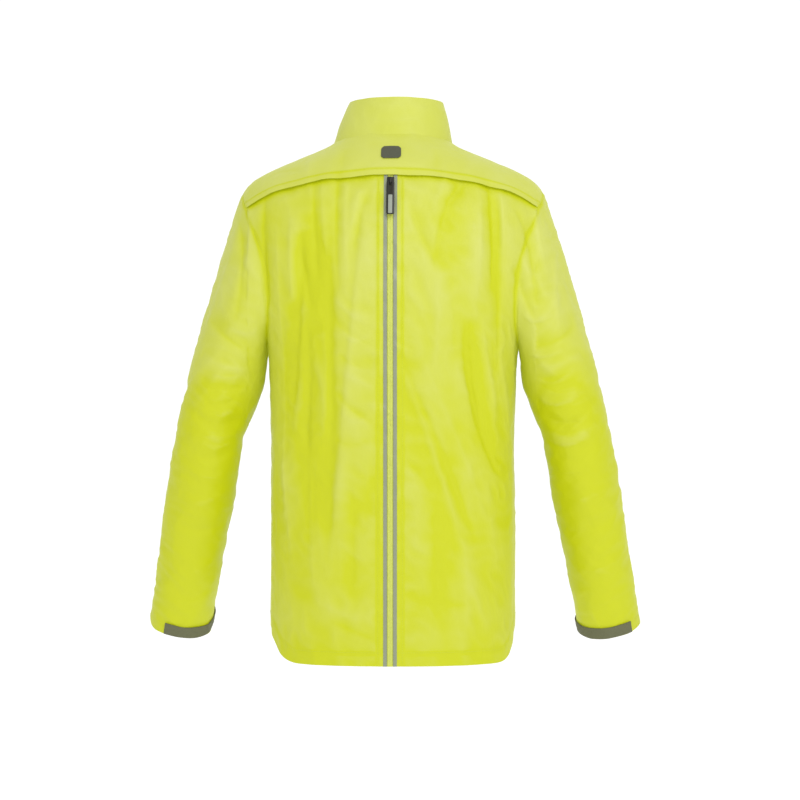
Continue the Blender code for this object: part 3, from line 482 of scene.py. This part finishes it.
def edge_groups(bm):
    """The free edge points of the body's cloth, by the edge that they lie on."""
    groups = {"hem": [], "cuff": [], "flap": [], "neck": [], "zip": []}
    for vert in bm.verts:
        if not vert.is_boundary:
            continue
        piece = BODY_CLOTH[vert.link_faces[0].material_index]
        x, y, z = vert.co
        if piece.startswith("sleeve") and z < HEM_BAND_Z:
            groups["cuff"].append(vert)
        elif z < HEM_BAND_Z and abs(x) > SLOT_X:
            groups["hem"].append(vert)
        elif piece == "yoke" and y < 0 and z < FLAP_TOP_Z:
            groups["flap"].append(vert)
        elif abs(x) < SLOT_X and piece != "yoke":
            groups["zip"].append(vert)
        elif piece == "yoke" or (piece.startswith("front") and z > NECK_FLOOR_Z):
            groups["neck"].append(vert)
    return groups


def fading(distance, strength, reach):
    """A strength that is full at no distance and fades over this reach."""
    return strength * math.exp(-((distance / reach) ** 2))


def deepen_and_shade(bm, trees):
    """The cloth stands proud where it lies double, along the hem, cuffs, flap and zips. Its colour is
    deeper there, along the rows of stitches and along the seams, and a painted shadow deepens it under the
    flap's edge."""
    painted_light_and_tone = bm.verts.layers.float["painted_light_and_tone"]
    for vert in bm.verts:
        deep_and_shaded, doubled = 0.0, 0.0
        piece = BODY_CLOTH[vert.link_faces[0].material_index]
        for name, reach in DOUBLED_REACH.items():
            if not piece.startswith(DOUBLED_PIECES[name]):
                continue
            off = trees[name].find(vert.co)[2] - reach
            doubled = max(doubled, 1 - min(1.0, max(0.0, off / DOUBLED_FADE)))
            deep_and_shaded = max(deep_and_shaded, fading(off, *STITCH_LINE))
        vert.co += vert.normal * DOUBLED_STAND * doubled
        deep_and_shaded = max(deep_and_shaded, fading(trees["seam"].find(vert.co)[2], *SEAM_LINE))
        # Painted shadow on the back panels under the flap's edge.
        if piece.startswith("back"):
            deep_and_shaded = max(deep_and_shaded, fading(trees["flap"].find(vert.co)[2], *FLAP_SHADOW_LINE))
        vert[painted_light_and_tone] -= deep_and_shaded + DOUBLED_TONE * doubled


def sink_seams(bm, trees):
    """Draws the cloth in along each sewn seam and lays the flap's edge against the panels below it."""
    yoke = BODY_CLOTH.index("yoke")
    for vert in bm.verts:
        from_seam = trees["seam"].find(vert.co)[2]
        if from_seam < SEAM_SINK_END:
            sink, reach = SEAM_SINK
            vert.co -= vert.normal * sink * fading(from_seam, 1, reach)
        if vert.link_faces[0].material_index == yoke:
            from_edge = trees["flap"].find(vert.co)[2]
            hold = max(0.0, 1 - from_edge / FLAP_HOLD)
            if vert.co.y < 0 and hold > 0:
                vert.co -= vert.normal * FLAP_LAY * hold
                vert.co.z += FLAP_WAVE * hold * noise.noise(Vector((vert.co.x * 26, 5, 2)))
    bm.normal_update()


def meet_neckline(collar, neckline):
    """Brings the collar's lower edge down on the neckline of the yoke and fronts."""
    offsets = {}
    for vert in collar.verts:
        if vert.is_boundary:
            place, _, distance = neckline.find(vert.co)
            if distance < COLLAR_REACH:
                offsets[vert] = place - vert.co - Vector((0, 0, COLLAR_TUCK))
    base = list(offsets)
    tree = points_tree(base)
    moves = []
    for vert in collar.verts:
        _, nearest, distance = tree.find(vert.co)
        moves.append(offsets[base[nearest]] * math.exp(-((distance / COLLAR_REACH) ** 2)))
    for vert, move in zip(collar.verts, moves):
        vert.co += move
    collar.normal_update()


def cut_out(bm, piece, name, thickness):
    """The faces of one piece, as an object with a wall of cloth."""
    own = bm.copy()
    others = [face for face in own.faces if face.material_index != piece]
    bmesh.ops.delete(own, geom=others, context="FACES")
    for face in own.faces:
        face.material_index = 0
    return walled(own, name, thickness)


def walled(bm, name, thickness):
    """An object whose sheet has a wall on its inner side."""
    mesh = bpy.data.meshes.new(name)
    for face in bm.faces:
        face.smooth = True
    bm.to_mesh(mesh)
    bm.free()
    obj = bpy.data.objects.new(name, mesh)
    bpy.context.scene.collection.objects.link(obj)
    wall = obj.modifiers.new("Wall", "SOLIDIFY")
    wall.thickness = thickness
    wall.offset = -1
    graph = bpy.context.evaluated_depsgraph_get()
    obj.data = bpy.data.meshes.new_from_object(obj.evaluated_get(graph))
    obj.modifiers.clear()
    obj.data.name = name
    obj.data.materials.clear()
    obj.data.set_sharp_from_angle(angle=CRISP)
    bpy.data.meshes.remove(mesh)
    return obj


def solid_object(bm, name):
    """An object from a closed bmesh."""
    mesh = bpy.data.meshes.new(name)
    for face in bm.faces:
        face.smooth = True
    bm.to_mesh(mesh)
    bm.free()
    mesh.set_sharp_from_angle(angle=CRISP)
    obj = bpy.data.objects.new(name, mesh)
    bpy.context.scene.collection.objects.link(obj)
    return obj


def dress(obj, finish, nodes=(), body="jacket"):
    """Gives a piece its finish, its body and the nodes that it stands for."""
    obj.data.materials.append(finish)
    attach(obj, body)
    if nodes:
        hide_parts(*nodes)
    return obj


def runs_of(edges):
    """Chains of points along connected edges, which end where other seams join them."""
    left = set(edges)
    meeting = {}
    for edge in edges:
        for vert in edge.verts:
            meeting[vert] = meeting.get(vert, 0) + 1
    runs = []
    for edge in edges:
        if edge not in left:
            continue
        left.remove(edge)
        run = list(edge.verts)
        for end in (0, -1):
            while meeting[run[end]] == 2:
                onward = next((other for other in run[end].link_edges if other in left), None)
                if onward is None:
                    break
                left.remove(onward)
                tip = onward.other_vert(run[end])
                run.insert(0, tip) if end == 0 else run.append(tip)
        runs.append(run)
    return runs


def inset_line(run, inset, wanted, tree):
    """A line on the cloth beside a run of edge points, at this distance from them on the wanted side."""
    line = []
    for vert in run:
        inward = Vector()
        for face in vert.link_faces:
            if wanted(face):
                inward += face.calc_center_median() - vert.co
        if inward.length == 0:
            continue
        along = Vector()
        for i, other in enumerate(run):
            if other is vert:
                along = run[min(i + 1, len(run) - 1)].co - run[max(i - 1, 0)].co
                break
        if along.length:
            along.normalize()
            inward -= along * inward.dot(along)
        place, normal, _, _ = tree.find_nearest(vert.co + inward.normalized() * inset)
        line.append((place, normal))
    return line


def sew(stitches, line, stitch=0.0024, pitch=0.0034, thread=0.00024):
    """Adds a row of small stitches along a line of places and normals on the cloth."""
    if len(line) < 3:
        return
    places = np.array([place for place, _ in line])
    steps = np.linalg.norm(np.diff(places, axis=0), axis=1)
    at = np.concatenate(([0.0], np.cumsum(steps)))
    for mark in np.arange(pitch / 2, at[-1], pitch):
        i = min(int(np.searchsorted(at, mark)) - 1, len(line) - 2)
        share = (mark - at[i]) / max(steps[i], 1e-9)
        place = Vector(places[i] + (places[i + 1] - places[i]) * share)
        along = Vector(places[i + 1] - places[i]).normalized()
        normal = line[i][1]
        aside = along.cross(normal).normalized()
        turn = Matrix((along, aside, aside.cross(along) * -1)).transposed().to_4x4()
        size = Matrix.Diagonal((stitch / 2, thread, thread, 1))
        where = Matrix.Translation(place + normal * thread * 0.6)
        bmesh.ops.create_icosphere(stitches, subdivisions=1, radius=1.0, matrix=where @ turn @ size)


def coil_teeth(tree, looking, top, bottom):
    """The two rows of a zip's coil, one on each side of its line."""
    coil = bmesh.new()
    side_of = Vector(looking)
    steps = int((top - bottom) / COIL_PITCH)
    for i in range(steps):
        height = top + (bottom - top) * i / steps
        for side in (-1, 1):
            start = Vector((side * COIL_HALF * 0.5, 0, height + side * COIL_STAGGER)) - side_of
            place, normal, _, _ = tree.ray_cast(start, side_of)
            if place is None:
                continue
            up = Vector((0, 0, 1)) - normal * normal.z
            up.normalize()
            turn = Matrix((up.cross(normal), up, normal)).transposed().to_4x4()
            size = Matrix.Diagonal((COIL_HALF * 0.94, *COIL_TURN, 1))
            bmesh.ops.create_cube(coil, size=1.0, matrix=Matrix.Translation(place) @ turn @ size)
    return coil


def moulded(node):
    """A hard node's form with its edges rounded."""
    bm = bmesh.new()
    bm.from_mesh(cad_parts[node].data)
    bmesh.ops.remove_doubles(bm, verts=bm.verts, dist=WELD)
    bmesh.ops.dissolve_limit(bm, angle_limit=math.radians(2), verts=bm.verts, edges=bm.edges)
    sharp = [edge for edge in bm.edges if edge.calc_face_angle(0) > MOULDED_TURN]
    bmesh.ops.bevel(
        bm,
        geom=sharp,
        offset=MOULDED_EDGE,
        segments=2,
        profile=0.5,
        affect="EDGES",
        clamp_overlap=True,
        material=-1,
    )
    return bm


def shader_of(name):
    """A new finish, with its nodes, their links and its shader."""
    finish = bpy.data.materials.new(name)
    finish.use_nodes = True
    nodes, links = finish.node_tree.nodes, finish.node_tree.links
    return finish, nodes, links, nodes["Principled BSDF"]


def noise_of(nodes, links, stretch, scale, detail=3.0, rough=0.5, kind="FBM"):
    """A noise pattern on the piece's own coordinates."""
    place = nodes.new("ShaderNodeTexCoord")
    mapping = nodes.new("ShaderNodeMapping")
    mapping.inputs["Scale"].default_value = stretch
    pattern = nodes.new("ShaderNodeTexNoise")
    pattern.noise_type = kind
    pattern.inputs["Scale"].default_value = scale
    pattern.inputs["Detail"].default_value = detail
    pattern.inputs["Roughness"].default_value = rough
    links.new(place.outputs["Object"], mapping.inputs["Vector"])
    links.new(mapping.outputs["Vector"], pattern.inputs["Vector"])
    return pattern.outputs["Fac"]


def blend_of(nodes, links, share, first, second):
    """A colour between two, by a share from 0 to 1."""
    mix = nodes.new("ShaderNodeMix")
    mix.data_type = "RGBA"
    mix.inputs["A"].default_value = (*first, 1)
    mix.inputs["B"].default_value = (*second, 1)
    links.new(share, mix.inputs["Factor"])
    return mix


def bump_of(nodes, links, height, strength, distance, below=None):
    """A relief by a pattern, on top of another relief."""
    bump = nodes.new("ShaderNodeBump")
    bump.inputs["Strength"].default_value = strength
    bump.inputs["Distance"].default_value = distance
    links.new(height, bump.inputs["Height"])
    if below is not None:
        links.new(below.outputs["Normal"], bump.inputs["Normal"])
    return bump


def cloth_finish(name, deep_and_shaded, pale_and_sheened, roughness=0.50):
    """Thin coated nylon, finely crinkled, with a broad gloss. Its colour is mixed by painted light: painted
    shade in its hollows and painted sheen on its ridges. A small emission stands for its fluorescent dye
    and lifts its shadows as painted light."""
    finish, nodes, links, shader = shader_of(name)
    # The mesh's painted light and tone: painted sheen high up and on ridges, painted shade low down and in
    # hollows, a painted shadow under the flap, and deeper seams, stitches and doubled cloth.
    layers = nodes.new("ShaderNodeAttribute")
    layers.attribute_name = "painted_light_and_tone"
    crumple = noise_of(nodes, links, (1, 1, 0.7), 20.0, 3.0, 0.5, "RIDGED_MULTIFRACTAL")
    # Paler on the crumples' raised ridges: painted sheen on the bump, with an uneven tone.
    mottle_and_ridge_sheen = nodes.new("ShaderNodeMath")
    mottle_and_ridge_sheen.operation = "MULTIPLY_ADD"
    mottle_and_ridge_sheen.inputs[1].default_value = 0.26
    mottle_and_ridge_sheen.inputs[2].default_value = -0.20
    links.new(crumple, mottle_and_ridge_sheen.inputs[0])
    share = nodes.new("ShaderNodeMath")
    share.use_clamp = True
    links.new(layers.outputs["Fac"], share.inputs[0])
    links.new(mottle_and_ridge_sheen.outputs["Value"], share.inputs[1])
    tone = blend_of(nodes, links, share.outputs["Value"], deep_and_shaded, pale_and_sheened)
    links.new(tone.outputs["Result"], shader.inputs["Base Color"])
    first = bump_of(nodes, links, crumple, 0.5, 0.0024)
    crinkle = noise_of(nodes, links, (1, 1, 0.45), 130.0, 3.0, 0.6)
    second = bump_of(nodes, links, crinkle, 0.4, 0.0008, first)
    grain = noise_of(nodes, links, (1, 1, 1), 1500.0, 1.0)
    third = bump_of(nodes, links, grain, 0.25, 0.0002, second)
    links.new(third.outputs["Normal"], shader.inputs["Normal"])
    spread = nodes.new("ShaderNodeMapRange")
    spread.inputs["To Min"].default_value = roughness - 0.06
    spread.inputs["To Max"].default_value = roughness + 0.08
    links.new(crinkle, spread.inputs["Value"])
    links.new(spread.outputs["Result"], shader.inputs["Roughness"])
    shader.inputs["Specular IOR Level"].default_value = 0.4
    shader.inputs["Sheen Weight"].default_value = 0.05
    shader.inputs["Sheen Roughness"].default_value = 0.45
    shader.inputs["Sheen Tint"].default_value = (0.95, 1.0, 0.85, 1)
    # Painted light: the cloth glows a little, standing for its fluorescent dye and lifting its shadows.
    shader.inputs["Emission Color"].default_value = (0.42, 0.48, 0.0, 1)
    shader.inputs["Emission Strength"].default_value = 0.26
    return finish


def grained_finish(name, dark, light, roughness, scale, bump, metallic=0.0):
    """A fine-grained finish: thread, rubber, moulded plastic, glass-bead tape or zip tape."""
    finish, nodes, links, shader = shader_of(name)
    grain = noise_of(nodes, links, (1, 1, 1), scale, 2.0)
    tone = blend_of(nodes, links, grain, dark, light)
    links.new(tone.outputs["Result"], shader.inputs["Base Color"])
    relief = bump_of(nodes, links, grain, bump, 0.0003)
    links.new(relief.outputs["Normal"], shader.inputs["Normal"])
    shader.inputs["Roughness"].default_value = roughness
    shader.inputs["Metallic"].default_value = metallic
    shader.inputs["Specular IOR Level"].default_value = 0.35
    return finish


def webbing_finish(name, dark, light):
    """Woven grey webbing: fine ribs along the strap, crossed by finer threads."""
    finish, nodes, links, shader = shader_of(name)
    place = nodes.new("ShaderNodeTexCoord")
    ribs = nodes.new("ShaderNodeTexWave")
    ribs.wave_type = "BANDS"
    ribs.bands_direction = "Z"
    ribs.inputs["Scale"].default_value = 230.0
    ribs.inputs["Distortion"].default_value = 0.6
    links.new(place.outputs["Object"], ribs.inputs["Vector"])
    threads = noise_of(nodes, links, (1, 1, 1), 900.0, 2.0)
    tone = blend_of(nodes, links, threads, dark, light)
    links.new(tone.outputs["Result"], shader.inputs["Base Color"])
    first = bump_of(nodes, links, ribs.outputs["Fac"], 0.5, 0.0004)
    second = bump_of(nodes, links, threads, 0.4, 0.0003, first)
    links.new(second.outputs["Normal"], shader.inputs["Normal"])
    shader.inputs["Roughness"].default_value = 0.75
    return finish


def make_body():
    """The panels, yoke and sleeves, sewn into one surface and creased, with its seams, the search trees of
    its edges and the lines of the creases."""
    body = joined(cloth_face(node, i) for i, node in enumerate(BODY_CLOTH))
    sewn_together(body)
    body = smoothed(body, SMOOTHING)
    groups = edge_groups(body)
    seams = []
    for edge in body.edges:
        if len({face.material_index for face in edge.link_faces}) > 1:
            seams.append(edge)
    trees = {name: points_tree(verts) for name, verts in groups.items()}
    trees["seam"] = points_tree(list({vert for edge in seams for vert in edge.verts}))
    creases = crease_lines(BVHTree.FromBMesh(body))
    press_creases(body, creases, BODY_CLOTH, calm=("yoke",))
    deepen_and_shade(body, trees)
    sink_seams(body, trees)
    return body, seams, trees, creases


def crease_lines(tree):
    """The creases' lines on the cloth, with their sizes."""
    lines = []
    for row in CREASES:
        line, crease = crease_line(tree, row)
        if len(line) > 2:
            lines.append((line, crease))
    return lines


def distance_line(bm, tree, distance, wanted):
    """Lines on the cloth that keep this distance from an edge, as lists of places and normals."""
    far = {vert: tree.find(vert.co)[2] - distance for vert in bm.verts}
    cuts = {}
    for edge in bm.edges:
        first, last = (far[vert] for vert in edge.verts)
        if (first < 0) != (last < 0):
            share = first / (first - last)
            start, end = edge.verts
            cuts[edge] = (start.co.lerp(end.co, share), start.normal.lerp(end.normal, share).normalized())
    beside = {}
    for face in bm.faces:
        met = [edge for edge in face.edges if edge in cuts]
        if wanted(face) and len(met) == 2:
            beside.setdefault(met[0], []).append(met[1])
            beside.setdefault(met[1], []).append(met[0])
    left = set(beside)
    lines = []
    for start in sorted(beside, key=lambda edge: len(beside[edge])):
        if start not in left:
            continue
        line, here = [], start
        while here is not None:
            left.discard(here)
            line.append(cuts[here])
            here = next((other for other in beside[here] if other in left), None)
        if len(beside[start]) == 2 and len(line) > 2:
            line.append(line[0])
        lines.append(line)
    return lines


def topstitch(body, seams, tree, trees):
    """Rows of stitches beside the seams, and where the hem, cuffs, flap and zip facings end."""
    stitches = bmesh.new()
    index = {name: i for i, name in enumerate(BODY_CLOTH)}
    sleeves = {index["sleeve_left"], index["sleeve_right"]}
    for run in runs_of(seams):
        owners = {face.material_index for face in run[len(run) // 2].link_faces}
        if owners & sleeves:
            wanted = lambda face: face.material_index not in sleeves
        elif index["yoke"] in owners:
            wanted = lambda face: face.material_index == index["yoke"]
        else:
            continue
        sew(stitches, inset_line(run, STITCH_INSET, wanted, tree))
    for name, reach in DOUBLED_REACH.items():
        own = {i for i, node in enumerate(BODY_CLOTH) if node.startswith(DOUBLED_PIECES[name])}
        for line in distance_line(body, trees[name], reach, lambda face: face.material_index in own):
            sew(stitches, line)
    return stitches


def finishes():
    """The finishes of all pieces, by what they cover."""
    made = {}
    # A deep, shaded tone and a pale tone with painted sheen.
    made["cloth"] = cloth_finish("yellow_cloth", (0.428, 0.458, 0.0), (0.470, 0.490, 0.118))
    made["tape"] = grained_finish("zip_tape", (0.50, 0.55, 0.05), (0.57, 0.61, 0.09), 0.6, 700.0, 0.4)
    made["coil"] = grained_finish("zip_coil", (0.56, 0.61, 0.11), (0.64, 0.69, 0.17), 0.4, 500.0, 0.2)
    beads = (0.20, 0.225, 0.15), (0.31, 0.34, 0.24)
    made["beads"] = grained_finish("reflective_beads", *beads, 0.38, 1800.0, 0.35, metallic=0.15)
    made["webbing"] = webbing_finish("grey_webbing", (0.095, 0.098, 0.046), (0.145, 0.15, 0.075))
    plastic = (0.010, 0.010, 0.005), (0.016, 0.016, 0.009)
    made["plastic"] = grained_finish("black_plastic", *plastic, 0.38, 800.0, 0.15)
    rubber = (0.25, 0.275, 0.23), (0.31, 0.335, 0.28)
    made["rubber"] = grained_finish("pale_rubber", *rubber, 0.5, 900.0, 0.2)
    patch = (0.055, 0.058, 0.036), (0.09, 0.094, 0.062)
    made["patch"] = grained_finish("dark_patch_rubber", *patch, 0.55, 1200.0, 0.3)
    thread = (0.50, 0.56, 0.04), (0.60, 0.66, 0.07)
    made["thread"] = grained_finish("yellow_thread", *thread, 0.55, 900.0, 0.2)
    return made


def build():
    """All pieces of the jacket."""
    finish = finishes()
    yellow, tape, plastic = finish["cloth"], finish["tape"], finish["plastic"]

    body, seams, trees, creases = make_body()
    tree = BVHTree.FromBMesh(body)
    stitches = topstitch(body, seams, tree, trees)
    for i, node in enumerate(BODY_CLOTH):
        dress(cut_out(body, i, node + "_cloth", CLOTH_WALL), yellow, [node])
    body.free()
    dress(solid_object(stitches, "body_stitches"), finish["thread"])

    collar = smoothed(cloth_face("collar"), SMOOTHING)
    press_creases(collar, creases, ("collar",), calm=("collar",))
    meet_neckline(collar, trees["neck"])
    dress(walled(collar, "collar_cloth", COLLAR_WALL), yellow, ["collar"])

    for node, surface, slot, wall in (
        ("back_reflective_left", finish["beads"], "reflective", BEADS_WALL),
        ("back_reflective_right", finish["beads"], "reflective", BEADS_WALL),
        ("back_zip_tape", tape, "yellow_tape", TAPE_WALL),
        ("front_zip_tape", tape, "yellow_tape", TAPE_WALL),
    ):
        strip = smoothed(cloth_face(node), SMOOTHING)
        press_creases(strip, creases)
        dress(walled(strip, node + "_strip", wall), surface, [node])
    for node, side in (("back_zip_teeth", "back"), ("front_zip_teeth", "front")):
        strip = smoothed(cloth_face(node), SMOOTHING)
        press_creases(strip, creases)
        low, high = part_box(node)
        teeth = coil_teeth(BVHTree.FromBMesh(strip), LOOKING[side], high.z - COIL_END, low.z + COIL_END)
        dress(walled(strip, node + "_strip", TEETH_WALL), tape, [node])
        dress(solid_object(teeth, node + "_coil"), finish["coil"])
    for node in ("cuff_tab_left", "cuff_tab_right"):
        tab = smoothed(cloth_face(node), STRAP_SMOOTHING)
        press_creases(tab, creases)
        dress(walled(tab, node + "_strap", STRAP_WALL), finish["webbing"], [node])
    patch = smoothed(cloth_face("yoke_patch"), PATCH_SMOOTHING)
    press_creases(patch, creases, ("yoke",), calm=("yoke",))
    dress(walled(patch, "plain_patch", PATCH_WALL), finish["patch"], ["yoke_patch"])
    for node, surface, slot, owner in (
        ("back_zip_slider", plastic, "black_plastic", "jacket"),
        ("front_zip_slider", plastic, "black_plastic", "jacket"),
        ("back_zip_pull", plastic, "black_plastic", "back_pull"),
        ("front_zip_pull", plastic, "black_plastic", "front_pull"),
        ("back_zip_pull_insert", finish["rubber"], "pale_insert", "back_pull"),
    ):
        dress(solid_object(moulded(node), node + "_moulded"), surface, [node], owner)


def studio():
    """An even pale light from all round, brighter before and behind the jacket and towards the top."""
    world = bpy.data.worlds.new("studio")
    bpy.context.scene.world = world
    world.use_nodes = True
    nodes, links = world.node_tree.nodes, world.node_tree.links
    towards = nodes.new("ShaderNodeTexCoord")
    ways = nodes.new("ShaderNodeSeparateXYZ")
    links.new(towards.outputs["Generated"], ways.inputs["Vector"])

    def step_of(kind, first, second):
        step = nodes.new("ShaderNodeMath")
        step.operation = kind
        for socket, value in zip(step.inputs, (first, second)):
            if isinstance(value, (int, float)):
                socket.default_value = value
            else:
                links.new(value, socket)
        return step.outputs["Value"]

    square = step_of("MULTIPLY", ways.outputs["Y"], ways.outputs["Y"])
    level = step_of("ADD", step_of("MULTIPLY", square, WORLD_ENDS), WORLD_BASE)
    level = step_of("ADD", level, step_of("MULTIPLY", ways.outputs["Z"], WORLD_RISE))
    nodes["Background"].inputs["Color"].default_value = (1, 1, 1, 1)
    links.new(level, nodes["Background"].inputs["Strength"])
    bpy.context.scene.view_settings.view_transform = "Standard"


def pale_floor():
    """A plain white floor well below the hem."""
    finish, _, _, shader = shader_of("pale_floor")
    shader.inputs["Base Color"].default_value = (0.86, 0.86, 0.85, 1)
    shader.inputs["Roughness"].default_value = 0.9
    shader.inputs["Emission Color"].default_value = (1, 1, 1, 1)
    shader.inputs["Emission Strength"].default_value = FLOOR_GLOW
    disc = bmesh.new()
    level = Matrix.Translation((0, 0, FLOOR_Z))
    bmesh.ops.create_circle(disc, cap_ends=True, segments=96, radius=FLOOR_RADIUS, matrix=level)
    floor = solid_object(disc, "floor")
    floor.data.materials.append(finish)


def key_light():
    """One soft key light from above, before the back and to its right."""
    key = bpy.data.lights.new("key", "AREA")
    key.shape = "DISK"
    key.size = KEY_SIZE
    key.energy = KEY_POWER
    lamp = bpy.data.objects.new("key", key)
    bpy.context.scene.collection.objects.link(lamp)
    lamp.location = KEY_PLACE
    lamp.rotation_euler = (KEY_AIM - lamp.location).to_track_quat("-Z", "Y").to_euler()


def view():
    """The camera, level with the middle of the back and a little to its right."""
    lens = bpy.data.cameras.new("camera")
    lens.lens = LENS
    camera = bpy.data.objects.new("camera", lens)
    bpy.context.scene.collection.objects.link(camera)
    bpy.context.scene.camera = camera
    away = Vector((math.sin(VIEW_ASIDE), -math.cos(VIEW_ASIDE), 0))
    camera.location = VIEW_AIM + VIEW_DISTANCE * away
    camera.rotation_euler = (VIEW_AIM - camera.location).to_track_quat("-Z", "Y").to_euler()


build()
studio()
pale_floor()
key_light()
view()
